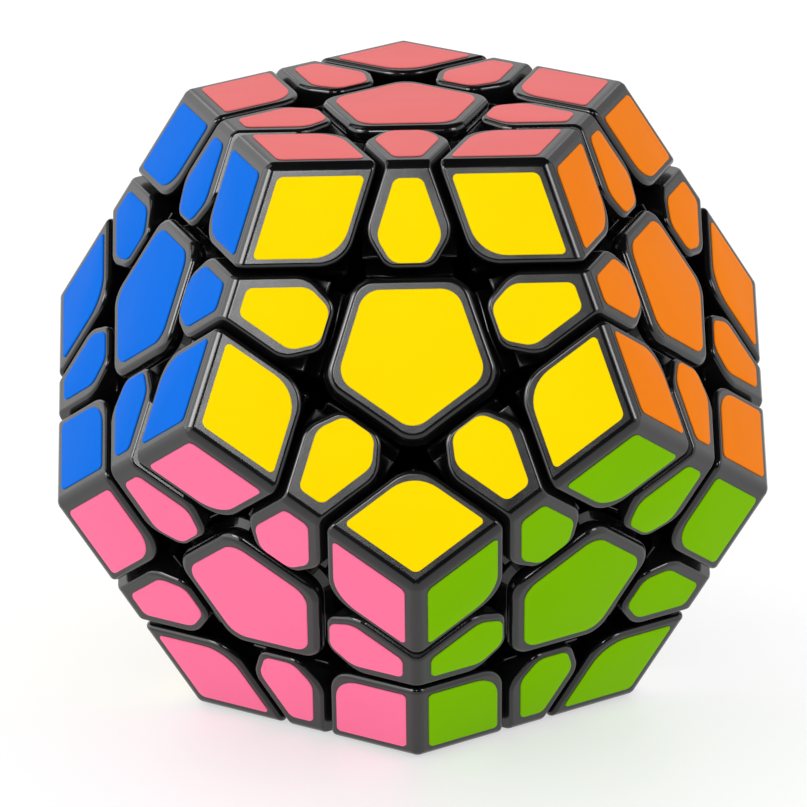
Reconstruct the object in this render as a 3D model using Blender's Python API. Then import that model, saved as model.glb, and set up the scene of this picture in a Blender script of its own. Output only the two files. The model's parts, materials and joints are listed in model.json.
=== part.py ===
"""Twelve-sided twisty puzzle: a core, 12 centres, 30 edges and 20 corners.

Sizes are in millimetres, and meshes are made in metres. Origin at the middle of the core, +Z up,
the puzzle stands on its grey face. Three masters (centre, edge, corner) are made once, and every
piece is a turned copy with its origin at the core, where the axes of all the faces meet.
"""
import math
from itertools import combinations

import bmesh
import bpy
import numpy as np
from mathutils import Matrix

MM = 0.001

# ---- driving sizes, mm and degrees -------------------------------------------------------
FACE = 33.0          # middle of the puzzle to each flat face
CUT = 22.4           # middle to the planes between a layer and the rest
GAP = 0.3            # each side of every cut
RING = 30.4          # feet lie inside this radius, blocks outside it
HOOK = 48.0          # half angle of the cone that parts the feet of a layer from the rest
HOOK_GAP = 0.8       # each side of that cone
FOOT_IN = 15.3       # feet reach in to this distance
FOOT_MARGIN = 1.0    # degrees between the tip of a corner's foot and the next layer's cone
WAIST = 0.25         # how much slimmer a stem is than the block and foot it joins
STEM_UP = 0.8        # how far a stem runs into its block
STEM_DOWN = 0.6      # and into its foot
CORNER_CHAMFER = 27.9    # flat on the inner upright edges of a corner block
EDGE_TIP = 0.137 * FACE  # half width of an edge block where its inner end narrows
EDGE_TIP_AT = 0.374 * FACE
EDGE_END = 0.074 * FACE  # half width of the inner end of an edge block
EDGE_END_AT = 0.266 * FACE
CAP_APOTHEM = 7.85       # cap of a centre
CAP_BEVEL = 0.7          # flat across each corner of the cap
FLANGE_APOTHEM = 8.7     # plate under the cap
FLANGE_BEVEL = 0.9
FLANGE_Z = (29.7, 31.0)
OVERLAP = 0.5            # how far the parts of a centre run into each other
BRIDGE = (6.0, 12.5, 3.0)     # web to a grey edge: start, end, half width
BRIDGE_THIN = 0.2             # how much thinner the web is than the flange, each side
CHAMBER = (3.6, 19.5, 29.2)   # spring chamber in a centre: radius, floor, roof
BORE = 1.7
CORE_BALL = 12.0
ARM = (3.6, 15.0)             # radius and end of a core arm
SCREW = (1.3, 24.5)           # shank radius, underside of the head
HEAD = (2.9, 26.5)            # head radius, top of the head
SEAT = (4.0, 2.5)             # how deep an arm and the grey centre sit in the ball
ROUND = 16                    # sides of round features

# ---- plastics: base colour and roughness ------------------------------------------------------
PLASTICS = {"black_plastic": ((0.012, 0.012, 0.013), 0.32), "core_plastic": ((0.03, 0.03, 0.032), 0.5)}

# ---- the twelve faces: name -> azimuth in degrees and upper (+1) or lower (-1) ring --------
RINGS = {
    "yellow": (-90, 1), "orange": (-18, 1), "violet": (54, 1), "turquoise": (126, 1), "blue": (-162, 1),
    "green": (-54, -1), "white": (18, -1), "emerald": (90, -1), "cream": (162, -1), "pink": (-126, -1),
}
JOINED_TO_EDGE = ("emerald", "white")   # centres made in one piece with their grey edge


def unit(v):
    v = np.asarray(v, dtype=float)
    return v / np.linalg.norm(v)


def face_normals():
    tilt = math.atan(0.5)
    normals = {"red": np.array([0.0, 0.0, 1.0]), "grey": np.array([0.0, 0.0, -1.0])}
    for name, (azimuth, side) in RINGS.items():
        a = math.radians(azimuth)
        flat = math.cos(tilt)
        normals[name] = np.array([flat * math.cos(a), flat * math.sin(a), side * math.sin(tilt)])
    return normals


NORMALS = face_normals()
ORDER = ("yellow", "turquoise", "white", "red", "blue", "orange",
         "pink", "green", "violet", "cream", "emerald", "grey")


def adjacent(a, b):
    return a != b and NORMALS[a] @ NORMALS[b] > 0.4


EDGES = [p for p in combinations(ORDER, 2) if adjacent(*p)]
CORNERS = [t for t in combinations(ORDER, 3) if all(adjacent(a, b) for a, b in combinations(t, 2))]


# ---- solids --------------------------------------------------------------------------------
def polytope(planes):
    """Mesh data of the convex body where normal . x <= offset for every (normal, offset)."""
    rows = [(unit(n), o / np.linalg.norm(n)) for n, o in planes]
    normals = np.array([n for n, _ in rows])
    offsets = np.array([o for _, o in rows])
    points = []
    for trio in combinations(range(len(rows)), 3):
        m = normals[list(trio)]
        if abs(np.linalg.det(m)) < 1e-7:
            continue
        p = np.linalg.solve(m, offsets[list(trio)])
        if np.all(normals @ p <= offsets + 1e-6):
            if not any(np.linalg.norm(p - q) < 1e-4 for q in points):
                points.append(p)
    points = np.array(points)
    faces = []
    for n, o in rows:
        on = [i for i, p in enumerate(points) if abs(n @ p - o) < 1e-5]
        if len(on) < 3:
            continue
        middle = points[on].mean(axis=0)
        x = unit(points[on[0]] - middle)
        y = np.cross(n, x)
        on.sort(key=lambda i: math.atan2((points[i] - middle) @ y, (points[i] - middle) @ x))
        faces.append(on)
    return points, faces


def make(name, data):
    points, faces = data
    mesh = bpy.data.meshes.new(name)
    mesh.from_pydata([tuple(p * MM) for p in points], [], faces)
    work = bmesh.new()
    work.from_mesh(mesh)
    bmesh.ops.triangulate(work, faces=work.faces)
    bmesh.ops.recalc_face_normals(work, faces=work.faces)
    work.to_mesh(mesh)
    work.free()
    thing = bpy.data.objects.new(name, mesh)
    bpy.context.scene.collection.objects.link(thing)
    return thing


def combine(target, other, operation):
    """Exact Boolean of two objects; the second one is used up."""
    step = target.modifiers.new("step", "BOOLEAN")
    step.operation = operation
    step.solver = "EXACT"
    step.object = other
    bpy.context.view_layer.update()
    seen = target.evaluated_get(bpy.context.evaluated_depsgraph_get())
    mesh = bpy.data.meshes.new_from_object(seen)
    target.modifiers.clear()
    target.data = mesh
    bpy.data.objects.remove(other)
    return target


def lathe(name, profile, axis):
    """Round body about an axis through the origin from (height, radius) pairs; ends on the axis."""
    n = unit(axis)
    x = unit(np.cross(n, [0.3, 0.5, 0.8]))
    y = np.cross(n, x)
    points = [n * profile[0][0]]
    rings = []
    for height, radius in profile[1:-1]:
        rings.append(len(points))
        for k in range(ROUND):
            a = 2 * math.pi * k / ROUND
            points.append(n * height + radius * (math.cos(a) * x + math.sin(a) * y))
    last = len(points)
    points.append(n * profile[-1][0])
    faces = []
    for k in range(ROUND):
        j = (k + 1) % ROUND
        faces.append([0, rings[0] + j, rings[0] + k])
        for low, high in zip(rings, rings[1:]):
            faces.append([low + k, low + j, high + j, high + k])
        faces.append([rings[-1] + k, rings[-1] + j, last])
    return make(name, (np.array(points), faces))


def sideways(n, toward):
    """Unit vector square to n, leaning to a second direction."""
    return unit(toward - (toward @ n) * n)


def cone_planes(directions):
    """Planes through the origin and each pair of neighbouring directions, outward."""
    middle = unit(sum(directions))
    planes = []
    for a, b in zip(directions, directions[1:] + directions[:1]):
        n = np.cross(a, b)
        planes.append((n if n @ middle < 0 else -n, 0.0))
    return planes


def toward(start, goal, degrees):
    """Direction reached from start after turning so many degrees to goal."""
    a = math.radians(degrees)
    return math.cos(a) * start + math.sin(a) * sideways(start, goal)


def angle(a, b):
    return math.degrees(math.acos(np.clip(a @ b, -1, 1)))


# ---- the corner ----------------------------------------------------------------------------
def corner_master(names):
    normals = [NORMALS[n] for n in names]
    v = unit(sum(normals))
    block = [(n, FACE) for n in normals]
    block += [(-n, -(CUT + GAP)) for n in normals]
    block += [(-(a + b), -CORNER_CHAMFER * np.linalg.norm(a + b)) for a, b in combinations(normals, 2)]
    block.append((-v, -(RING + GAP)))
    inside = math.cos(math.radians(HOOK - HOOK_GAP))
    reach = HOOK - HOOK_GAP - angle(v, normals[0])
    # how far the foot goes towards a face's middle before it leaves the next layer's cone
    lean = math.radians(angle(v, normals[0]))
    a, b = math.cos(lean), -0.5 * math.sin(lean)
    far = math.degrees(math.atan2(b, a) + math.acos(inside / math.hypot(a, b)))
    directions = []
    for i in range(3):
        here, after = normals[i], normals[(i + 1) % 3]
        directions.append(toward(v, here, far - FOOT_MARGIN))
        directions.append(toward(v, here + after, reach))
    sides = cone_planes(directions)
    top = (RING - GAP) * math.cos(math.radians(far))
    foot = sides + [(v, top), (-v, -FOOT_IN)]
    stem = [(-n, -(CUT + GAP + WAIST)) for n in normals]
    stem += [(v, RING + GAP + STEM_UP), (-v, -(top - STEM_DOWN))]
    stem += [(n, o - WAIST * np.linalg.norm(n)) for n, o in sides]
    piece = make("corner", polytope(block))
    combine(piece, make("stem", polytope(stem)), "UNION")
    combine(piece, make("foot", polytope(foot)), "UNION")
    return piece


# ---- the edge ------------------------------------------------------------------------------
def edge_master(names):
    f, g = (NORMALS[n] for n in names)
    ends = [NORMALS[n] for n in ORDER if adjacent(n, names[0]) and adjacent(n, names[1])]
    e = unit(f + g)
    block = [(f, FACE), (g, FACE), (-f, -(CUT + GAP)), (-g, -(CUT + GAP))]
    block += [(h, CUT - GAP) for h in ends]
    across = unit(ends[0] - ends[1])
    for n, other in ((f, g), (g, f)):
        out = sideways(n, other)
        for side in (across, -across):
            tip = n * FACE + out * EDGE_TIP_AT + side * EDGE_TIP
            end = n * FACE + out * EDGE_END_AT + side * EDGE_END
            slope = unit(np.cross(tip - end, n))
            slope = slope if slope @ side > 0 else -slope
            block.append((slope, slope @ tip))
    block.append((-e, -(RING + GAP)))
    inside = math.cos(math.radians(HOOK - HOOK_GAP))
    to_end = angle(e, ends[0]) - HOOK - HOOK_GAP
    to_face = HOOK - HOOK_GAP - angle(e, g)
    directions = []
    for n, other, first in ((f, g, 0), (g, f, 1)):
        for k in (first, 1 - first):
            near = toward(e, ends[k], to_end)
            along = unit(n - other)
            a, b = near @ other, along @ other
            turn = math.acos(inside / math.hypot(a, b)) + math.atan2(b, a)
            directions.append(math.cos(turn) * near + math.sin(turn) * along)
            if k == first:
                directions.append(toward(e, n, to_face))
    sides = cone_planes(directions)
    widest = max(angle(e, d) for d in directions)
    top = (RING - GAP) * math.cos(math.radians(widest))
    foot = sides + [(e, top), (-e, -FOOT_IN)]
    stem = [(-n, -(CUT + GAP + WAIST)) for n in (f, g)] + [(h, CUT - GAP - WAIST) for h in ends]
    stem += [(e, RING + GAP + STEM_UP), (-e, -(top - STEM_DOWN))]
    stem += [(n, o - WAIST * np.linalg.norm(n)) for n, o in sides]
    piece = make("edge", polytope(block))
    combine(piece, make("stem", polytope(stem)), "UNION")
    combine(piece, make("foot", polytope(foot)), "UNION")
    return piece


# ---- the centre ----------------------------------------------------------------------------
def pentagon(name, apothem, bevel):
    """Planes of a pentagon bar on a face, its sides to the neighbours, its corners flattened."""
    n = NORMALS[name]
    around = [k for k in ORDER if adjacent(k, name)]
    planes = [(sideways(n, NORMALS[k]), apothem) for k in around]
    for a, b in combinations(around, 2):
        if adjacent(a, b):
            planes.append((sideways(n, NORMALS[a] + NORMALS[b]), apothem / math.cos(math.pi / 5) - bevel))
    return planes


def centre_solid(name, bottom):
    n = NORMALS[name]
    around = [NORMALS[k] for k in ORDER if adjacent(k, name)]
    cap = pentagon(name, CAP_APOTHEM, CAP_BEVEL) + [(n, FACE), (-n, -(FLANGE_Z[1] - OVERLAP))]
    flange = pentagon(name, FLANGE_APOTHEM, FLANGE_BEVEL) + [(n, FLANGE_Z[1]), (-n, -FLANGE_Z[0])]
    lean = math.radians(angle(n, around[0]) - HOOK - HOOK_GAP)
    hub = [(math.cos(lean) * sideways(n, k) - math.sin(lean) * n, 0.0) for k in around]
    hub += [(n, FLANGE_Z[0] + OVERLAP), (-n, -bottom)]
    piece = make("centre", polytope(cap))
    combine(piece, make("flange", polytope(flange)), "UNION")
    combine(piece, make("hub", polytope(hub)), "UNION")
    return piece


def centre_master(name):
    piece = centre_solid(name, FOOT_IN)
    radius, floor, roof = CHAMBER
    profile = [(FOOT_IN - 1, 0), (FOOT_IN - 1, BORE), (floor, BORE),
               (floor, radius), (roof, radius), (roof, 0)]
    return combine(piece, lathe("chamber", profile, NORMALS[name]), "DIFFERENCE")


def core_with_grey_centre():
    """Ball, arms and screws for the eleven turning faces, with the grey centre joined on."""
    piece = make_ball(CORE_BALL)
    for name in ORDER:
        if name == "grey":
            continue
        start = CORE_BALL - SEAT[0]
        profile = [(start, 0), (start, ARM[0]), (ARM[1], ARM[0]), (ARM[1], SCREW[0]),
                   (SCREW[1], SCREW[0]), (SCREW[1], HEAD[0]), (HEAD[1], HEAD[0]), (HEAD[1], 0)]
        combine(piece, lathe("arm", profile, NORMALS[name]), "UNION")
    return combine(piece, centre_solid("grey", CORE_BALL - SEAT[1]), "UNION")


def make_ball(radius):
    mesh = bpy.data.meshes.new("ball")
    work = bmesh.new()
    bmesh.ops.create_icosphere(work, subdivisions=2, radius=radius * MM)
    work.to_mesh(mesh)
    work.free()
    thing = bpy.data.objects.new("ball", mesh)
    bpy.context.scene.collection.objects.link(thing)
    return thing


# ---- placing -------------------------------------------------------------------------------
def frame_of(names):
    """Right-handed frame of a piece from its first face and its own middle direction."""
    first = NORMALS[names[0]]
    if len(names) == 1:
        second = NORMALS[next(k for k in ORDER if adjacent(k, names[0]))]
    else:
        second = NORMALS[names[1]]
    x = sideways(first, second)
    return np.column_stack([x, np.cross(first, x), first])


def handed(names):
    """The same three faces, listed anticlockwise as seen from outside."""
    a, b, c = names
    turn = np.linalg.det(np.array([NORMALS[a], NORMALS[b], NORMALS[c]]))
    return names if turn > 0 else (a, c, b)


def place(master, from_names, to_names, name):
    """A copy of a master that shares its mesh, turned about the core into another place."""
    turn = frame_of(to_names) @ frame_of(from_names).T
    thing = bpy.data.objects.new(name, master.data)
    thing.matrix_world = Matrix([list(row) for row in turn]).to_4x4()
    bpy.context.scene.collection.objects.link(thing)
    return thing


def plastic(name):
    colour, roughness = PLASTICS[name]
    material = bpy.data.materials.new(name)
    material.use_nodes = True
    shader = material.node_tree.nodes["Principled BSDF"]
    shader.inputs["Base Color"].default_value = (*colour, 1.0)
    shader.inputs["Roughness"].default_value = roughness
    shader.inputs["Metallic"].default_value = 0.0
    return material


def bridge(name):
    """Web that joins a centre to its grey edge."""
    n, down = NORMALS[name], NORMALS["grey"]
    out = sideways(n, down)
    side = np.cross(n, out)
    low, high = FLANGE_Z
    start, end, half = BRIDGE
    planes = [(n, high - BRIDGE_THIN), (-n, -(low + BRIDGE_THIN))]
    planes += [(out, end), (-out, -start), (side, half), (-side, half)]
    return make("bridge", polytope(planes))


def build():
    for thing in list(bpy.data.objects):
        bpy.data.objects.remove(thing)
    corner_names = handed(CORNERS[0])
    corner = corner_master(corner_names)
    edge = edge_master(EDGES[0])
    centre = centre_master(ORDER[0])
    edges = {}
    for pair in EDGES:
        edges[pair] = place(edge, EDGES[0], pair, "edge_" + "_".join(pair))
    for trio in CORNERS:
        place(corner, corner_names, handed(trio), "corner_" + "_".join(trio))
    for name in ORDER:
        if name == "grey":
            continue
        piece = place(centre, (ORDER[0],), (name,), "centre_" + name)
        if name in JOINED_TO_EDGE:
            combine(piece, bridge(name), "UNION")
            combine(piece, edges[(name, "grey")], "UNION")
            piece.name = "centre_and_edge_" + name + "_grey"
    core = core_with_grey_centre()
    core.name = "core_and_centre_grey"
    for master in (corner, edge, centre):
        bpy.data.objects.remove(master)
    black, grey = (plastic(name) for name in PLASTICS)
    for thing in bpy.data.objects:
        thing.data.materials.clear()
        thing.data.materials.append(grey if thing is core else black)


build()
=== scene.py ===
"""Looks of a twelve-sided twisty puzzle: moulded black plastic pieces with raised vinyl stickers.

Sizes are in millimetres and angles in degrees. Meshes are made in metres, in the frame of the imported
model: origin at the middle of the core, +Z up, yellow face to -Y. One master is made for each kind
of piece, and copies of it are turned into their places.
"""
import json
import math
from collections import namedtuple
from itertools import combinations

import bmesh
import bpy
import numpy as np
from mathutils import Matrix, Vector


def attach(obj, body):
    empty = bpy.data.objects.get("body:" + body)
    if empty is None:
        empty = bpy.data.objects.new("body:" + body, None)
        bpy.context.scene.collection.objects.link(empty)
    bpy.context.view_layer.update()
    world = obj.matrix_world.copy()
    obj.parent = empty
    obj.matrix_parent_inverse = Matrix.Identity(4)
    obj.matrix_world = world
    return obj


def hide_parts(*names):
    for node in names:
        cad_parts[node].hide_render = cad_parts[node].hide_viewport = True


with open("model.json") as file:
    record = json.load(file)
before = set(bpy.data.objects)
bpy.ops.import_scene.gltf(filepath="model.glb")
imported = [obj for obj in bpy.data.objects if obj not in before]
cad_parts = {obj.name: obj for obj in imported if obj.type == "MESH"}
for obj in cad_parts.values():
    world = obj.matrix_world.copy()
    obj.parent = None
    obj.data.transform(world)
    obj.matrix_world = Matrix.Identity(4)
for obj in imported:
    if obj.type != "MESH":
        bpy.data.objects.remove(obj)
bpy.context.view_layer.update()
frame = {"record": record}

MM = 0.001

# ---- sizes of the pieces ---------------------------------------------------------------------------
FACE = 33.0              # middle of the puzzle to the top of a sticker
STICKER = 0.14           # thickness of the vinyl
SKIN = FACE - STICKER    # middle to the plastic's flat faces
CUT = 22.4               # middle to the plane between a face's layer and the rest
GAP = 0.3                # from such a plane to the wall of a piece
RING = 30.4              # middle to the level between outer blocks and the mechanism under them
HOOK = 48.0              # a foot lies within this angle of its own faces' axes, and outside the others'
HOOK_GAP = 0.8           # clearance to that angle
FOOT_IN = 15.3           # middle to the inner ends of feet and hubs
WAIST = 0.25             # how much slimmer a stem is than the parts that it joins
STEM_OVERLAP = (1.2, 1.0)    # how far a stem runs into its block and its foot
FILLET = 0.5             # rounding of a block's outline
FOOT_FILLET = 0.5
STEM_FILLET = 0.2
FOOT_STEP = 22.0         # angle between the facets of a rounding, on feet and hubs
COARSE_STEP = 30.0       # the same on stems and flanges
FOOT_MARGIN = 1.0        # from a corner's foot to its outermost possible directions, degrees
RIDGE = 1.5              # rounding of the puzzle's outer ridges
RIDGE_STEPS = 14
INNER = 4.6              # rounding of a corner block's inner upright edges
INNER_STEPS = 11
EDGE_TIP = 0.137 * FACE      # half the width of an edge block where it starts to narrow
EDGE_TIP_AT = 0.374 * FACE   # from the middle of the face to there
EDGE_END = 0.074 * FACE      # half its width at its inner end, and how far out that is
EDGE_END_AT = 0.266 * FACE
NOSE_GAP = 0.05          # inner end of an edge block to the cut
NOSE_ROUND = 1.8         # rounding between that end and the tapering sides
SHOULDER_ROUND = 2.6     # rounding between those and the block's walls
EDGE_ROUND_STEPS = 4
CAP_APOTHEM = 8.1
CAP_ROUND = 2.9          # rounding of the cap's five corners
CAP_FILLET = 0.8         # rounding of its outline, towards the sticker
CAP_STEP = 12.0          # angle between the facets of a cap's rounding
CAP_SEAT = 31.05         # middle to the underside of a cap
PLUG_ENDS = (2.2, 1.9, 0.6)  # below the seat: end and bevel of the cap's plug; above it: its root
PLUG_BEVEL = 0.3
PLUG_GAP = 0.1
FLANGE_APOTHEM = 8.7
FLANGE_ROUND = 2.3
FLANGE_Z = (29.7, 31.0)  # middle to its underside and top
FLANGE_FALL = 50.0       # slope of the flange's top outside the cap
FLANGE_INSET = 0.4       # start of that slope, inside the cap's outline
FLANGE_FILLET = 0.3
HUB_OVERLAP = 0.6        # how far the hub runs into the flange
PENTAGON_STEPS = 7
CHAMBER = (3.6, 19.5)    # radius and floor of the chamber for screw and spring
BORE = 1.7               # radius of the hole for the screw
CUTTER_PAST = 1          # how far the chamber's cutter reaches past both ends
TURNED_SIDES = 32        # sides of chambers and plugs
CORE_BALL = 12.0         # radius of the core's ball
ARM = (3.6, 15.0)        # radius and end of the core's arms
ARM_ROOT = (4, 0.8)      # how far an arm's root lies inside the ball, and how much wider it is
ARM_FLARE = (0.6, 0.3)   # the same for the start of the straight part, outside the ball
ARM_BEVEL = 0.3
ARM_SIDES = 40
SCREW = (1.3, 24.5)      # radius, and middle to the underside of the head
HEAD = (2.9, 26.5)       # radius and top of the head
HEAD_DOME = 0.9          # height of the head's domed top
SCREW_LIFT = 0.05        # from the arm's end to the foot of the screw's visible part
SCREW_SIDES = 24
WASHER = (2.9, 0.5)      # radius and thickness
WASHER_GAP = (0.25, 0.05)    # to the screw, and to the chamber's floor
RING_SIDES = 28
SHARP = 40               # edges sharper than this aren't shaded smooth
CORE_SHARP = 35
SPRING = (0.24, 2.3, 5.5)    # radius of the wire, radius of the coil, turns
SPRING_ENDS = (0.85, 0.3)    # above the chamber's floor, and below the screw's head
SPRING_CLOSE = 0.06      # how much the end coils close up
SPRING_STEPS = (18, 8)   # steps along a turn and around the wire

# ---- sizes of the stickers on a face, from its middle ------------------------------------------------
CENTRE_STICKER = 6.72        # apothem
CENTRE_STICKER_ROUND = 2.4
EDGE_STICKER = (9.5, 18.55)  # inner and outer end
EDGE_STICKER_SIDE = 7.15     # sides, measured towards the next faces
EDGE_STICKER_TAPER = 0.85    # inside the block's tapering end
EDGE_STICKER_ROUND = (0.95, 2.2, 1.6, 1.6, 2.2, 0.95)
CORNER_STICKER = (10.15, 18.9)
CORNER_STICKER_ROUND = (0.9, 0.45, 4.2, 0.45)
STICKER_EDGE = 0.11          # rounding of a sticker's top edge
STICKER_SUNK = 0.01          # how far a sticker reaches into the plastic

# ---- stage ---------------------------------------------------------------------------------------------
CAMERA_LENS = 343.9
CAMERA_AT = (-5.08, -795.1, 277.5)
CAMERA_TURN = (0.31, 19.32, -0.96)   # to the right, down, and about the line of sight
FLOOR_HALF = 4.0                     # metres
FLOOR_COLOUR = (0.42, 0.42, 0.422)
FLOOR_ROUGH = 0.6
FLOOR_GLOW = 0.58
WORLD_GLOW = 1.04
LIGHTS = (   # name, azimuth, elevation, distance and size in metres, radiance, lights matt surfaces too
    ("backdrop", 90, 18, 2.0, (1.6, 1.0), 0.95, False),
    ("back_left_box", 129, 13, 2.0, (1.5, 1.1), 1.3, False),
    ("back_right_box", 54, 14, 2.0, (1.1, 1.1), 0.6, False),
    ("front_left_box", -96.3, 39, 1.6, (0.2, 0.36), 18.0, False),
    ("front_right_box", -85, 39, 1.6, (0.34, 0.36), 0.5, False),
    ("left_strip", -146, 37, 1.5, (0.6, 0.5), 11.0, False),
    ("right_strip", -34, 37, 1.5, (0.4, 0.5), 9.0, False),
    ("left_box", 190, 12, 1.5, (2.4, 1.6), 3.0, False),
    ("right_box", -10, 12, 1.5, (2.4, 1.6), 1.3, False),
    ("key", 150, 55, 1.2, (0.6, 0.6), 1.2, True),
)

# ---- the twelve faces ------------------------------------------------------------------------------------
RINGS = {   # azimuth, and above or below the middle
    "yellow": (-90, 1), "orange": (-18, 1), "violet": (54, 1), "turquoise": (126, 1), "blue": (-162, 1),
    "green": (-54, -1), "white": (18, -1), "emerald": (90, -1), "cream": (162, -1), "pink": (-126, -1),
}
VINYL = {   # sRGB
    # red is a red sticker lightened to salmon: a painted reflection of the light above the top face
    "yellow": (255, 221, 0), "red": (230, 119, 119), "orange": (241, 127, 18), "blue": (0, 109, 224),
    "green": (121, 183, 0), "pink": (254, 120, 160), "violet": (112, 52, 150), "turquoise": (60, 176, 196),
    "white": (236, 236, 232), "emerald": (0, 104, 70), "cream": (240, 222, 170), "grey": (128, 130, 134),
}
JOINED_TO_EDGE = ("emerald", "white")   # centres that share a CAD node with their edge at the grey face


def unit(v):
    v = np.asarray(v, dtype=float)
    return v / np.linalg.norm(v)


def face_normals():
    tilt = math.atan(0.5)
    normals = {"red": np.array([0.0, 0.0, 1.0]), "grey": np.array([0.0, 0.0, -1.0])}
    for name, (azimuth, side) in RINGS.items():
        a = math.radians(azimuth)
        flat = math.cos(tilt)
        normals[name] = np.array([flat * math.cos(a), flat * math.sin(a), side * math.sin(tilt)])
    return normals


NORMALS = face_normals()
ORDER = ("yellow", "turquoise", "white", "red", "blue", "orange",
         "pink", "green", "violet", "cream", "emerald", "grey")


def adjacent(a, b):
    return a != b and NORMALS[a] @ NORMALS[b] > 0.4


EDGES = [p for p in combinations(ORDER, 2) if adjacent(*p)]
CORNERS = [t for t in combinations(ORDER, 3) if all(adjacent(a, b) for a, b in combinations(t, 2))]


def edge_neighbour(name):
    return next(k for k in ORDER if adjacent(k, name))


# ---- directions ------------------------------------------------------------------------------------------
def angle(a, b):
    return math.degrees(math.acos(np.clip(a @ b, -1, 1)))


def sideways(n, other):
    """Unit vector square to n, leaning to a second direction."""
    return unit(other - (other @ n) * n)


def toward(start, goal, degrees):
    """Direction reached from start after turning so many degrees to goal."""
    a = math.radians(degrees)
    return math.cos(a) * start + math.sin(a) * sideways(start, goal)


def between(a, b, steps):
    """Directions from a to b, both included, at even angles."""
    whole = angle(a, b)
    return [toward(a, b, whole * k / steps) for k in range(steps + 1)] if whole > 0.01 else [a]


def square_to(n):
    """Two unit vectors square to n and to each other."""
    x = unit(np.cross(n, [0.3, 0.5, 0.8]))
    return x, np.cross(n, x)


# ---- rounded bodies --------------------------------------------------------------------------------------
def soften(planes, first, second, radius, steps):
    """Planes that round the edge between two planes to a radius."""
    (a, p), (b, q) = planes[first], planes[second]
    a, b = unit(a), unit(b)
    c = unit(np.cross(a, b))
    axis = np.linalg.solve(np.array([a, b, c]), [p - radius, q - radius, 0.0])
    return [(n, n @ axis + radius) for n in between(a, b, steps + 1)[1:-1]]


def vertices_of(planes):
    """Corners of a convex body, each with the list of planes through it."""
    normals = np.array([n for n, _ in planes])
    offsets = np.array([o for _, o in planes])
    trios = np.array(list(combinations(range(len(planes)), 3)))
    matrices = normals[trios]
    good = np.abs(np.linalg.det(matrices)) > 1e-6
    trios, matrices = trios[good], matrices[good]
    points = np.linalg.solve(matrices, offsets[trios][..., None])[..., 0]
    inside = np.all(points @ normals.T <= offsets + 1e-6, axis=1)
    kept = []
    for p in points[inside]:
        if not any(np.linalg.norm(p - q) < 1e-4 for q in kept):
            kept.append(p)
    return [(p, [i for i in range(len(planes)) if abs(normals[i] @ p - offsets[i]) < 2e-5]) for p in kept]


class Body:
    """A convex rounded body: its mesh, and the true normal of each of its points."""

    def __init__(self, planes, radius, step=15.0):
        planes = [(unit(n), o / np.linalg.norm(n) - radius) for n, o in planes]
        points, normals = [], []
        for p, on in vertices_of(planes):
            middle = unit(sum(planes[i][0] for i in on))
            x = sideways(middle, planes[on[0]][0])
            y = np.cross(middle, x)
            on.sort(key=lambda i: math.atan2(planes[i][0] @ y, planes[i][0] @ x))
            rim = []
            for i, j in zip(on, on[1:] + on[:1]):
                a, b = planes[i][0], planes[j][0]
                rim += between(a, b, max(1, math.ceil(angle(a, b) / step)))[:-1]
            reach = max(angle(middle, d) for d in rim)
            rings = max(1, math.ceil(reach / step))
            around = list(rim)
            for k in range(1, rings):
                around += [unit(d * (1 - k / rings) + middle * k / rings) for d in rim]
            around.append(middle)
            points += [p + radius * d for d in around]
            normals += around
        work = bmesh.new()
        for p in points:
            work.verts.new(tuple(p * MM))
        work.verts.ensure_lookup_table()
        bmesh.ops.convex_hull(work, input=work.verts)
        loose = [v for v in work.verts if not v.link_faces]
        bmesh.ops.delete(work, geom=loose, context="VERTS")
        bmesh.ops.recalc_face_normals(work, faces=work.faces)
        self.mesh = bpy.data.meshes.new("body")
        work.to_mesh(self.mesh)
        work.free()
        self.known = {key(p): n for p, n in zip(points, normals)}


Plain = namedtuple("Plain", "mesh known")   # stands in for a Body where no normals are known


def key(p):
    return tuple(round(c * 1000) for c in p)


def as_object(mesh, name="part"):
    thing = bpy.data.objects.new(name, mesh)
    bpy.context.scene.collection.objects.link(thing)
    return thing


def apply_boolean(target, operation, mesh):
    """Change an object's mesh by an exact union or difference with another mesh."""
    tool = as_object(mesh)
    step = target.modifiers.new("step", "BOOLEAN")
    step.operation = operation
    step.solver = "EXACT"
    step.object = tool
    bpy.context.view_layer.update()
    seen = target.evaluated_get(bpy.context.evaluated_depsgraph_get())
    result = bpy.data.meshes.new_from_object(seen)
    target.modifiers.clear()
    target.data = result
    bpy.data.objects.remove(tool)


def join_solids(first, others, cutters=()):
    """Exact union of bodies, less the cutters, with the bodies' own normals put back."""
    target = as_object(first.mesh)
    known = dict(first.known)
    for b in others:
        known.update(b.known)
        apply_boolean(target, "UNION", b.mesh)
    for m in cutters:
        apply_boolean(target, "DIFFERENCE", m)
    mesh = target.data
    bpy.data.objects.remove(target)
    return finish_normals(mesh, known)


def finish_normals(mesh, known):
    """Smooth shading from the known normals; a face round a new cut stays flat there."""
    mesh.shade_smooth()
    where = [known.get(key(v.co / MM)) for v in mesh.vertices]
    normals = []
    for polygon in mesh.polygons:
        flat = np.array(polygon.normal)
        for i in polygon.vertices:
            n = where[i]
            normals.append(tuple(n) if n is not None and n @ flat > 0.8 else tuple(flat))
    mesh.normals_split_custom_set(normals)
    return mesh


def cone_planes(directions):
    """Planes through the origin and each two neighbours of a ring of directions."""
    middle = unit(sum(directions))
    planes = []
    for a, b in zip(directions, directions[1:] + directions[:1]):
        n = np.cross(a, b)
        planes.append((n if n @ middle < 0 else -n, 0.0))
    return planes


def foot_body(sides, out, top):
    """Foot or hub: the part of a cone between the core and a top level."""
    return Body(sides + [(out, top), (-out, -FOOT_IN)], FOOT_FILLET, FOOT_STEP)


def slimmer(sides):
    """A foot's sides, moved inwards for its stem."""
    return [(n, -WAIST * np.linalg.norm(n)) for n, _ in sides]


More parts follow.
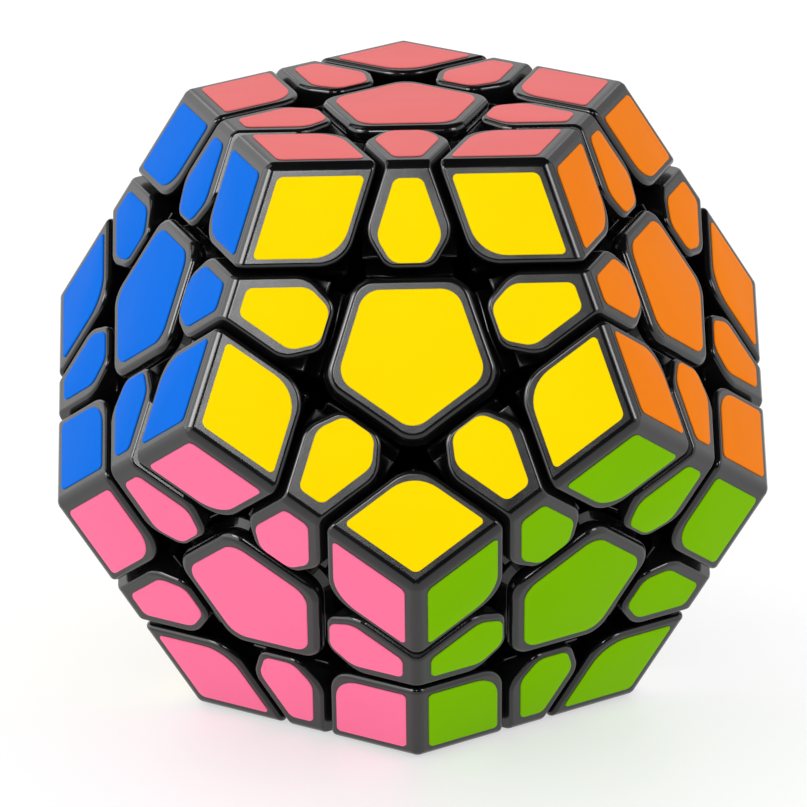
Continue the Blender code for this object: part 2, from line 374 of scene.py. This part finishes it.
# ---- the corner ------------------------------------------------------------------------------------------
def corner_master(names):
    outer = [(NORMALS[n], SKIN) for n in names]
    walls = [(-NORMALS[n], -(CUT + GAP)) for n in names]
    v = unit(sum(n for n, _ in outer))
    planes = outer + walls
    extra = []
    for i, j in combinations(range(3), 2):
        extra += soften(planes, i, j, RIDGE, RIDGE_STEPS)
        extra += soften(planes, 3 + i, 3 + j, INNER, INNER_STEPS)
    ball = np.linalg.solve(np.array([n for n, _ in outer]), [SKIN - RIDGE] * 3)
    extra.append((v, v @ ball + RIDGE))
    extra += [(d, d @ ball + RIDGE) for d in (unit(v + n) for n, _ in outer)]
    block = Body(planes + extra + [(-v, -(RING + GAP))], FILLET)
    normals = [NORMALS[n] for n in names]
    lean = math.radians(angle(v, normals[0]))
    inside = math.cos(math.radians(HOOK - HOOK_GAP))
    a, b = math.cos(lean), -0.5 * math.sin(lean)
    far = math.degrees(math.atan2(b, a) + math.acos(inside / math.hypot(a, b)))
    reach = HOOK - HOOK_GAP - math.degrees(lean)
    directions = []
    for i in range(3):
        directions.append(toward(v, normals[i], far - FOOT_MARGIN))
        directions.append(toward(v, normals[i] + normals[(i + 1) % 3], reach))
    sides = cone_planes(directions)
    top = (RING - GAP) * math.cos(math.radians(far))
    foot = foot_body(sides, v, top)
    into_block, into_foot = STEM_OVERLAP
    stem = [(-n, -(CUT + GAP + WAIST)) for n in normals]
    stem += [(v, RING + GAP + into_block), (-v, -(top - into_foot))] + slimmer(sides)
    return join_solids(block, [Body(stem, STEM_FILLET, COARSE_STEP), foot])


# ---- the edge --------------------------------------------------------------------------------------------
def edge_ends(names):
    return [n for n in ORDER if adjacent(n, names[0]) and adjacent(n, names[1])]


def edge_taper(n, other, ends, across):
    """Planes of an edge block's narrowing inner end on the face n."""
    out = sideways(n, other)
    nose = (-other, -(CUT + NOSE_GAP))
    planes = [nose]
    for side, end in ((across, ends[0]), (-across, ends[1])):
        tip = n * FACE + out * EDGE_TIP_AT + side * EDGE_TIP
        inner = n * FACE + out * EDGE_END_AT + side * EDGE_END
        slope = unit(np.cross(tip - inner, n))
        slope = slope if slope @ side > 0 else -slope
        slope = (slope, slope @ tip)
        planes.append(slope)
        planes += soften([slope, nose], 0, 1, NOSE_ROUND, EDGE_ROUND_STEPS)
        planes += soften([slope, (end, CUT - GAP)], 0, 1, SHOULDER_ROUND, EDGE_ROUND_STEPS)
    return planes


def edge_master(names):
    f, g = (NORMALS[n] for n in names)
    ends = [NORMALS[n] for n in edge_ends(names)]
    e = unit(f + g)
    across = unit(ends[0] - ends[1])
    planes = [(f, SKIN), (g, SKIN)]
    extra = soften(planes, 0, 1, RIDGE, RIDGE_STEPS)
    extra += edge_taper(f, g, ends, across) + edge_taper(g, f, ends, across)
    extra += [(h, CUT - GAP) for h in ends]
    block = Body(planes + extra + [(-e, -(RING + GAP))], FILLET)
    inside = math.cos(math.radians(HOOK - HOOK_GAP))
    to_end = angle(e, ends[0]) - HOOK - HOOK_GAP
    to_face = HOOK - HOOK_GAP - angle(e, g)
    directions = []
    for n, other, first in ((f, g, 0), (g, f, 1)):
        for k in (first, 1 - first):
            near = toward(e, ends[k], to_end)
            along = unit(n - other)
            a, b = near @ other, along @ other
            turn = math.acos(inside / math.hypot(a, b)) + math.atan2(b, a)
            directions.append(math.cos(turn) * near + math.sin(turn) * along)
            if k == first:
                directions.append(toward(e, n, to_face))
    sides = cone_planes(directions)
    top = (RING - GAP) * math.cos(math.radians(max(angle(e, d) for d in directions)))
    foot = foot_body(sides, e, top)
    into_block, into_foot = STEM_OVERLAP
    stem = [(-n, -(CUT + GAP + WAIST)) for n in (f, g)]
    stem += [(e, RING + GAP + into_block), (-e, -(top - into_foot))]
    stem += [(h, CUT - GAP - WAIST) for h in ends] + slimmer(sides)
    return join_solids(block, [Body(stem, STEM_FILLET, COARSE_STEP), foot])


# ---- the centre ------------------------------------------------------------------------------------------
def around_face(name):
    """Neighbours' directions on a face, in turning order."""
    n = NORMALS[name]
    near = [sideways(n, NORMALS[k]) for k in ORDER if adjacent(k, name)]
    x, y = near[0], np.cross(n, near[0])
    return sorted(near, key=lambda d: math.atan2(d @ y, d @ x))


def pentagon_planes(name, apothem, rounding):
    sides = [(d, apothem) for d in around_face(name)]
    extra = []
    for i in range(5):
        extra += soften(sides, i, (i + 1) % 5, rounding, PENTAGON_STEPS)
    return sides + extra


def centre_base(name):
    """Flange, hub with its chamber, and bore of a centre."""
    n = NORMALS[name]
    fall = math.radians(FLANGE_FALL)
    slopes = []
    for d, reach in pentagon_planes(name, CAP_APOTHEM - FLANGE_INSET, CAP_ROUND):
        slopes.append((math.cos(fall) * n + math.sin(fall) * d,
                       math.cos(fall) * FLANGE_Z[1] + math.sin(fall) * reach))
    flange = Body(pentagon_planes(name, FLANGE_APOTHEM, FLANGE_ROUND) + slopes
                  + [(n, FLANGE_Z[1]), (-n, -FLANGE_Z[0])], FLANGE_FILLET, COARSE_STEP)
    lean = math.radians(angle(n, NORMALS[edge_neighbour(name)]) - HOOK - HOOK_GAP)
    sides = [(math.cos(lean) * d - math.sin(lean) * n, 0.0) for d in around_face(name)]
    hub = foot_body(sides, n, FLANGE_Z[0] + HUB_OVERLAP)
    radius, floor = CHAMBER
    below, above = FOOT_IN - CUTTER_PAST, FLANGE_Z[1] + CUTTER_PAST
    profile = [(below, 0), (below, BORE), (floor, BORE), (floor, radius), (above, radius), (above, 0)]
    return join_solids(flange, [hub], [lathe(profile, n, TURNED_SIDES)])


def centre_cap(name):
    n = NORMALS[name]
    shell = Body(pentagon_planes(name, CAP_APOTHEM, CAP_ROUND) + [(n, SKIN), (-n, -CAP_SEAT)],
                 CAP_FILLET, CAP_STEP)
    radius = CHAMBER[0] - PLUG_GAP
    end, bevel, root = PLUG_ENDS
    profile = [(CAP_SEAT - end, 0), (CAP_SEAT - end, radius - PLUG_BEVEL), (CAP_SEAT - bevel, radius),
               (CAP_SEAT + root, radius), (CAP_SEAT + root, 0)]
    return join_solids(shell, [Plain(lathe(profile, n, TURNED_SIDES), {})])


# ---- round parts -----------------------------------------------------------------------------------------
def mesh_of(name, points, faces):
    """Closed mesh from points in millimetres, its faces turned outwards."""
    mesh = bpy.data.meshes.new(name)
    mesh.from_pydata([tuple(p * MM) for p in points], [], faces)
    work = bmesh.new()
    work.from_mesh(mesh)
    bmesh.ops.recalc_face_normals(work, faces=work.faces)
    work.to_mesh(mesh)
    work.free()
    return mesh


def shade(mesh, degrees):
    """Smooth shading, except over edges that are sharper than an angle."""
    mesh.shade_smooth()
    mesh.set_sharp_from_angle(angle=math.radians(degrees))
    return mesh


def lathe(profile, axis, sides):
    """Round body about an axis through the origin from (height, radius) pairs; ends on the axis."""
    n = unit(axis)
    x, y = square_to(n)
    points = [n * profile[0][0]]
    rings = []
    for height, radius in profile[1:-1]:
        rings.append(len(points))
        for k in range(sides):
            a = 2 * math.pi * k / sides
            points.append(n * height + radius * (math.cos(a) * x + math.sin(a) * y))
    last = len(points)
    points.append(n * profile[-1][0])
    faces = []
    for k in range(sides):
        j = (k + 1) % sides
        faces.append([0, rings[0] + j, rings[0] + k])
        for low, high in zip(rings, rings[1:]):
            faces.append([low + k, low + j, high + j, high + k])
        faces.append([rings[-1] + k, rings[-1] + j, last])
    return shade(mesh_of("turned", points, faces), SHARP)


def ring_mesh(section, n):
    """A closed ring: the section, as (height, radius) pairs, is turned about n."""
    x, y = square_to(n)
    size = len(section)
    points = []
    for k in range(RING_SIDES):
        a = 2 * math.pi * k / RING_SIDES
        points += [n * h + r * (math.cos(a) * x + math.sin(a) * y) for h, r in section]
    faces = []
    for k in range(RING_SIDES):
        j = (k + 1) % RING_SIDES
        for i in range(size):
            faces.append([k * size + i, k * size + (i + 1) % size, j * size + (i + 1) % size, j * size + i])
    return mesh_of("ring", points, faces)


def core_mesh():
    work = bmesh.new()
    bmesh.ops.create_icosphere(work, subdivisions=5, radius=CORE_BALL * MM)
    mesh = bpy.data.meshes.new("core")
    work.to_mesh(mesh)
    work.free()
    target = as_object(mesh)
    radius, end = ARM
    (deep, wide), (rise, flare) = ARM_ROOT, ARM_FLARE
    profile = [(CORE_BALL - deep, 0), (CORE_BALL - deep, radius + wide), (CORE_BALL + rise, radius + flare),
               (end - ARM_BEVEL, radius), (end, radius - ARM_BEVEL), (end, 0)]
    for name in ORDER:
        apply_boolean(target, "UNION", lathe(profile, NORMALS[name], ARM_SIDES))
    mesh = target.data
    bpy.data.objects.remove(target)
    return shade(mesh, CORE_SHARP)


def screw_mesh(n):
    radius, under = SCREW
    head, top = HEAD
    foot = ARM[1] + SCREW_LIFT
    profile = [(foot, 0), (foot, radius), (under, radius), (under, head)]
    for degrees in (90, 70, 50, 30):
        out = math.sin(math.radians(degrees))
        profile.append((top - HEAD_DOME * out ** 2, head * out))
    return lathe(profile + [(top, 0)], n, SCREW_SIDES)


def washer_mesh(n):
    radius, thickness = WASHER
    to_screw, to_floor = WASHER_GAP
    low, high = CHAMBER[1] + to_floor, CHAMBER[1] + to_floor + thickness
    hole = SCREW[0] + to_screw
    return ring_mesh([(low, hole), (low, radius), (high, radius), (high, hole)], n)


def spring_mesh(n):
    """Helical spring between the washer and the screw's head, its end coils closer together."""
    x, y = square_to(n)
    wire, radius, turns = SPRING
    steps, around = SPRING_STEPS
    low, high = CHAMBER[1] + SPRING_ENDS[0], SCREW[1] - SPRING_ENDS[1]
    count = int(turns * steps)
    points, faces = [], []
    for k in range(count + 1):
        t = k / count
        a = 2 * math.pi * turns * t
        out = math.cos(a) * x + math.sin(a) * y
        rise = low + (high - low) * (t - SPRING_CLOSE * math.sin(2 * math.pi * t))
        for i in range(around):
            b = 2 * math.pi * i / around
            points.append(n * (rise + wire * math.sin(b)) + out * (radius + wire * math.cos(b)))
    for k in range(count):
        for i in range(around):
            j = (i + 1) % around
            faces.append([k * around + i, k * around + j, (k + 1) * around + j, (k + 1) * around + i])
    faces.append(list(range(around)))
    faces.append([count * around + i for i in range(around)])
    return mesh_of("spring", points, faces)


# ---- stickers --------------------------------------------------------------------------------------------
def rounded(corners, radii, step=9.0):
    """Points of a convex outline, anticlockwise, with each corner rounded."""
    points = []
    for i, radius in enumerate(radii):
        before, here, after = (np.array(corners[(i + k) % len(corners)], dtype=float) for k in (-1, 0, 1))
        a, b = unit(before - here), unit(after - here)
        half = math.acos(np.clip(a @ b, -1, 1)) / 2
        middle = here + unit(a + b) * radius / math.sin(half)
        start, turn = -unit(a + b), math.pi - 2 * half
        steps = max(2, math.ceil(math.degrees(turn) / step))
        for k in range(steps + 1):
            t = -turn / 2 + turn * k / steps
            points.append(middle + radius * np.array([start[0] * math.cos(t) - start[1] * math.sin(t),
                                                      start[0] * math.sin(t) + start[1] * math.cos(t)]))
    return points


def half_plane_corners(lines):
    """Corners, anticlockwise, of the area where direction . p <= offset for every line in turning order."""
    corners = []
    for (a, p), (b, q) in zip(lines, lines[1:] + lines[:1]):
        corners.append(np.linalg.solve(np.array([a, b]), [p, q]))
    return corners


def flat_direction(degrees):
    """Direction on a face, clockwise from +y."""
    return np.array([math.sin(math.radians(degrees)), math.cos(math.radians(degrees))])


def centre_outline():
    lines = [(flat_direction(-72 * k), CENTRE_STICKER) for k in range(5)]
    return rounded(half_plane_corners(lines), [CENTRE_STICKER_ROUND] * 5)


def edge_outline():
    """Sticker of an edge, its outer end to +y."""
    inner, outer = EDGE_STICKER
    slope = unit([EDGE_TIP_AT - EDGE_END_AT, -(EDGE_TIP - EDGE_END)])
    reach = slope @ np.array([EDGE_TIP, EDGE_TIP_AT]) - EDGE_STICKER_TAPER
    mirror = np.array([-slope[0], slope[1]])
    lines = [(flat_direction(0), outer), (flat_direction(-72), EDGE_STICKER_SIDE), (mirror, reach),
             (flat_direction(180), -inner), (slope, reach), (flat_direction(72), EDGE_STICKER_SIDE)]
    return rounded(half_plane_corners(lines), EDGE_STICKER_ROUND)


def corner_outline():
    """Sticker of a corner, between the directions at -36 and +36 degrees from +y."""
    inner, outer = CORNER_STICKER
    left, right = flat_direction(-36), flat_direction(36)
    lines = [(right, outer), (left, outer), (-right, -inner), (-left, -inner)]
    return rounded(half_plane_corners(lines), CORNER_STICKER_ROUND)


def sticker_mesh(outline, x, y, n):
    """Vinyl tile on a face, with its top edge rounded over."""
    points = np.array(outline)
    ahead = np.roll(points, -1, axis=0) - np.roll(points, 1, axis=0)
    outward = np.stack([ahead[:, 1], -ahead[:, 0]], axis=1)
    outward /= np.linalg.norm(outward, axis=1)[:, None]
    levels = [(0.0, -STICKER_SUNK)]
    for degrees in (0, 30, 60, 90):
        a = math.radians(degrees)
        levels.append((STICKER_EDGE * (1 - math.cos(a)), STICKER - STICKER_EDGE * (1 - math.sin(a))))
    mesh = bpy.data.meshes.new("sticker")
    work = bmesh.new()
    rings = []
    for inset, height in levels:
        ring = []
        for p, d in zip(points, outward):
            q = p - d * inset
            ring.append(work.verts.new(tuple((x * q[0] + y * q[1] + n * (SKIN + height)) * MM)))
        rings.append(ring)
    for low, high in zip(rings, rings[1:]):
        for k in range(len(low)):
            j = (k + 1) % len(low)
            work.faces.new([low[k], low[j], high[j], high[k]])
    work.faces.new(rings[-1])
    work.faces.new(list(reversed(rings[0])))
    bmesh.ops.recalc_face_normals(work, faces=work.faces)
    work.to_mesh(mesh)
    work.free()
    return shade(mesh, SHARP)


# ---- materials -------------------------------------------------------------------------------------------
def linear(rgb):
    return tuple((c / 255 / 12.92) if c <= 10 else ((c / 255 + 0.055) / 1.055) ** 2.4 for c in rgb)


def noise(nodes, links, coordinates, scale, detail, rough):
    texture = nodes.new("ShaderNodeTexNoise")
    texture.inputs["Scale"].default_value = scale
    texture.inputs["Detail"].default_value = detail
    texture.inputs["Roughness"].default_value = rough
    links.new(coordinates.outputs["Object"], texture.inputs["Vector"])
    return texture


def remap(nodes, links, source, low, high, start=0.3, stop=0.7):
    ramp = nodes.new("ShaderNodeMapRange")
    ramp.inputs["From Min"].default_value = start
    ramp.inputs["From Max"].default_value = stop
    ramp.inputs["To Min"].default_value = low
    ramp.inputs["To Max"].default_value = high
    links.new(source, ramp.inputs["Value"])
    return ramp


def surface(name, dark, light, rough, scale, grain, metallic=0.0, specular=0.5):
    """Moulded or rolled surface: cloudy colour, uneven gloss and a fine grain.

    rough is the range of roughness, scale the clouds' scale, and grain its scale, strength and height.
    """
    material = bpy.data.materials.new(name)
    material.use_nodes = True
    nodes, links = material.node_tree.nodes, material.node_tree.links
    shader = nodes["Principled BSDF"]
    coordinates = nodes.new("ShaderNodeTexCoord")
    cloud = noise(nodes, links, coordinates, scale, 4.0, 0.6)
    blend = nodes.new("ShaderNodeMix")
    blend.data_type = "RGBA"
    blend.inputs["A"].default_value = (*dark, 1.0)
    blend.inputs["B"].default_value = (*light, 1.0)
    links.new(remap(nodes, links, cloud.outputs["Fac"], 0.0, 1.0).outputs["Result"], blend.inputs["Factor"])
    links.new(blend.outputs["Result"], shader.inputs["Base Color"])
    patches = noise(nodes, links, coordinates, scale * 2.7, 3.0, 0.55)
    gloss = remap(nodes, links, patches.outputs["Fac"], rough[0], rough[1])
    links.new(gloss.outputs["Result"], shader.inputs["Roughness"])
    fine = noise(nodes, links, coordinates, grain[0], 2.0, 0.5)
    relief = nodes.new("ShaderNodeBump")
    relief.inputs["Strength"].default_value = grain[1]
    relief.inputs["Distance"].default_value = grain[2]
    links.new(fine.outputs["Fac"], relief.inputs["Height"])
    links.new(relief.outputs["Normal"], shader.inputs["Normal"])
    shader.inputs["Metallic"].default_value = metallic
    shader.inputs["Specular IOR Level"].default_value = specular
    return material


def vinyl(name, rgb):
    base = linear(rgb)
    dark = tuple(0.95 * c for c in base)
    return surface("sticker_" + name, dark, base, (0.36, 0.46), 60.0, (900.0, 0.06, 0.00003), specular=0.01)


FINISHES = {
    "black_plastic": surface(
        "black_plastic", (0.0035, 0.0035, 0.0038), (0.006, 0.006, 0.0065), (0.13, 0.21), 90.0,
        (1400.0, 0.06, 0.00003)),
    # inside finish: rougher than the outer one, and darker with weaker gloss as painted shade for the parts
    # deep in the gaps
    "black_plastic_inside_painted_shade": surface(
        "black_plastic_inside_painted_shade", (0.003, 0.003, 0.0032), (0.005, 0.005, 0.0053), (0.3, 0.44), 90.0,
        (1400.0, 0.15, 0.00005), specular=0.08),
    "core_plastic": surface(
        "core_plastic", (0.025, 0.025, 0.027), (0.045, 0.045, 0.048), (0.42, 0.6), 90.0,
        (1400.0, 0.15, 0.00005)),
    "steel": surface(
        "steel", (0.48, 0.48, 0.5), (0.6, 0.6, 0.62), (0.2, 0.36), 300.0,
        (2500.0, 0.1, 0.00003), metallic=1.0),
}
FINISHES.update({"sticker_" + name: vinyl(name, rgb) for name, rgb in VINYL.items()})


# ---- placing ---------------------------------------------------------------------------------------------
def frame_of(names):
    """Axes of a piece: z out of its first face, x towards its second."""
    first = NORMALS[names[0]]
    second = NORMALS[names[1] if len(names) > 1 else edge_neighbour(names[0])]
    x = sideways(first, second)
    return np.column_stack([x, np.cross(first, x), first])


def handed(names):
    """Three faces in the order that makes a right-handed set."""
    a, b, c = names
    turn = np.linalg.det(np.array([NORMALS[a], NORMALS[b], NORMALS[c]]))
    return names if turn > 0 else (a, c, b)


BODY_OF = {node: body for body, nodes in frame["record"]["behaviour"]["bodies"].items() for node in nodes}


def node_of(names):
    """CAD node that holds a piece."""
    if names == ("grey",):
        return "core_and_centre_grey"
    if len(names) == 1:
        return f"centre_and_edge_{names[0]}_grey" if names[0] in JOINED_TO_EDGE else "centre_" + names[0]
    if len(names) == 2 and names[0] in JOINED_TO_EDGE and names[1] == "grey":
        return f"centre_and_edge_{names[0]}_grey"
    return ("edge_" if len(names) == 2 else "corner_") + "_".join(names)


def add(name, mesh, names, slot, stands_for=True, body=None):
    """A finished piece, in its place, on the body of the CAD node that holds it."""
    thing = as_object(mesh, name)
    mesh.name = name
    mesh.materials.clear()
    mesh.materials.append(FINISHES[slot])
    if slot == "black_plastic":
        # second slot: the inside finish, darkened as painted shade
        mesh.materials.append(FINISHES["black_plastic_inside_painted_shade"])
    node = node_of(names)
    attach(thing, body or BODY_OF[node])
    if stands_for:
        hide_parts(node)


def turned(mesh, turn):
    copy = mesh.copy()
    copy.transform(Matrix([list(row) for row in turn]).to_4x4())
    return copy


def turn_to(names, master_names):
    """Rotation that brings a master into a piece's place."""
    return frame_of(names) @ frame_of(master_names).T


def rough_with_painted_shade(mesh, below):
    """The parts of a piece nearer the middle than so many mm get the inside finish: rougher, and darker
    with weaker gloss, as painted shade deep in the gaps.
    """
    for polygon in mesh.polygons:
        if polygon.center.length < below * MM:
            polygon.material_index = 1


def add_stickers(names, outline):
    """One sticker on each outer face of a piece."""
    kind = ("centre", "edge", "corner")[len(names) - 1]
    for name in names:
        others = [k for k in names if k != name]
        n = NORMALS[name]
        y = sideways(n, sum(NORMALS[k] for k in others or [edge_neighbour(name)]))
        add("_".join(["sticker", name, kind] + others), sticker_mesh(outline, np.cross(y, n), y, n), names,
            "sticker_" + name, stands_for=False)


def build_outside():
    first_corner, first_edge, first = handed(CORNERS[0]), EDGES[0], (ORDER[0],)
    corner, edge = corner_master(first_corner), edge_master(first_edge)
    base, cap = centre_base(first[0]), centre_cap(first[0])
    rough_with_painted_shade(corner, RING)
    rough_with_painted_shade(edge, RING)
    rough_with_painted_shade(base, FACE)
    for trio in CORNERS:
        mesh = turned(corner, turn_to(handed(trio), first_corner))
        add("corner_" + "_".join(trio) + "_block", mesh, trio, "black_plastic")
        add_stickers(trio, corner_outline())
    for pair in EDGES:
        mesh = turned(edge, turn_to(pair, first_edge))
        add("edge_" + "_".join(pair) + "_block", mesh, pair, "black_plastic")
        add_stickers(pair, edge_outline())
    for name in ORDER:
        turn = turn_to((name,), first)
        add("centre_" + name + "_base", turned(base, turn), (name,), "black_plastic")
        add("centre_" + name + "_cap", turned(cap, turn), (name,), "black_plastic", stands_for=False)
        add_stickers((name,), centre_outline())


def build_inside():
    add("core_ball_and_arms", core_mesh(), ("grey",), "core_plastic")
    for name in ORDER:
        n = NORMALS[name]
        add("screw_" + name, screw_mesh(n), (name,), "steel", stands_for=False, body="core")
        add("spring_" + name, spring_mesh(n), (name,), "steel", stands_for=False)
        add("washer_" + name, washer_mesh(n), (name,), "steel", stands_for=False)


# ---- floor, lights and camera ----------------------------------------------------------------------------
def build_floor():
    half, low = FLOOR_HALF, -FACE * MM
    mesh = bpy.data.meshes.new("floor")
    mesh.from_pydata([(-half, -half, low), (half, -half, low), (half, half, low), (-half, half, low)], [],
                     [[0, 1, 2, 3]])
    floor = as_object(mesh, "floor")
    material = bpy.data.materials.new("floor")
    material.use_nodes = True
    shader = material.node_tree.nodes["Principled BSDF"]
    shader.inputs["Base Color"].default_value = (*FLOOR_COLOUR, 1.0)
    shader.inputs["Roughness"].default_value = FLOOR_ROUGH
    shader.inputs["Emission Color"].default_value = (1.0, 1.0, 1.0, 1.0)
    shader.inputs["Emission Strength"].default_value = FLOOR_GLOW
    mesh.materials.append(material)


def softbox(name, azimuth, elevation, distance, size, radiance, diffuse):
    """Panel that faces the puzzle: seen in gloss, and in matt surfaces where diffuse is on."""
    a, e = math.radians(azimuth), math.radians(elevation)
    place = Vector((math.cos(a) * math.cos(e), math.sin(a) * math.cos(e), math.sin(e))) * distance
    lamp = bpy.data.lights.new(name, "AREA")
    lamp.shape = "RECTANGLE"
    lamp.size, lamp.size_y = size
    lamp.energy = radiance * math.pi * size[0] * size[1]
    thing = bpy.data.objects.new(name, lamp)
    bpy.context.scene.collection.objects.link(thing)
    thing.location = place
    thing.rotation_euler = (-place).to_track_quat("-Z", "Y").to_euler()
    thing.visible_camera = False
    thing.visible_diffuse = diffuse


def build_lights():
    for light in LIGHTS:
        softbox(*light)
    world = bpy.data.worlds.new("studio")
    world.use_nodes = True
    background = world.node_tree.nodes["Background"]
    background.inputs["Color"].default_value = (1, 1, 1, 1)
    background.inputs["Strength"].default_value = WORLD_GLOW
    world.cycles_visibility.glossy = False
    bpy.context.scene.world = world


def build_camera():
    data = bpy.data.cameras.new("camera")
    data.sensor_width = 36.0
    data.lens = CAMERA_LENS
    data.clip_start = 0.01
    data.clip_end = 50.0
    camera = bpy.data.objects.new("camera", data)
    bpy.context.scene.collection.objects.link(camera)
    azimuth, elevation, roll = (math.radians(a) for a in CAMERA_TURN)
    forward = Vector((math.sin(azimuth) * math.cos(elevation), math.cos(azimuth) * math.cos(elevation),
                      -math.sin(elevation)))
    level = forward.cross(Vector((0, 0, 1))).normalized()
    right = level * math.cos(roll) + level.cross(forward) * math.sin(roll)
    up = right.cross(forward)
    camera.matrix_world = Matrix((
        (right.x, up.x, -forward.x, CAMERA_AT[0] * MM),
        (right.y, up.y, -forward.y, CAMERA_AT[1] * MM),
        (right.z, up.z, -forward.z, CAMERA_AT[2] * MM),
        (0, 0, 0, 1)))
    bpy.context.scene.camera = camera


build_outside()
build_inside()
build_floor()
build_lights()
build_camera()
bpy.context.scene.view_settings.view_transform = "Standard"
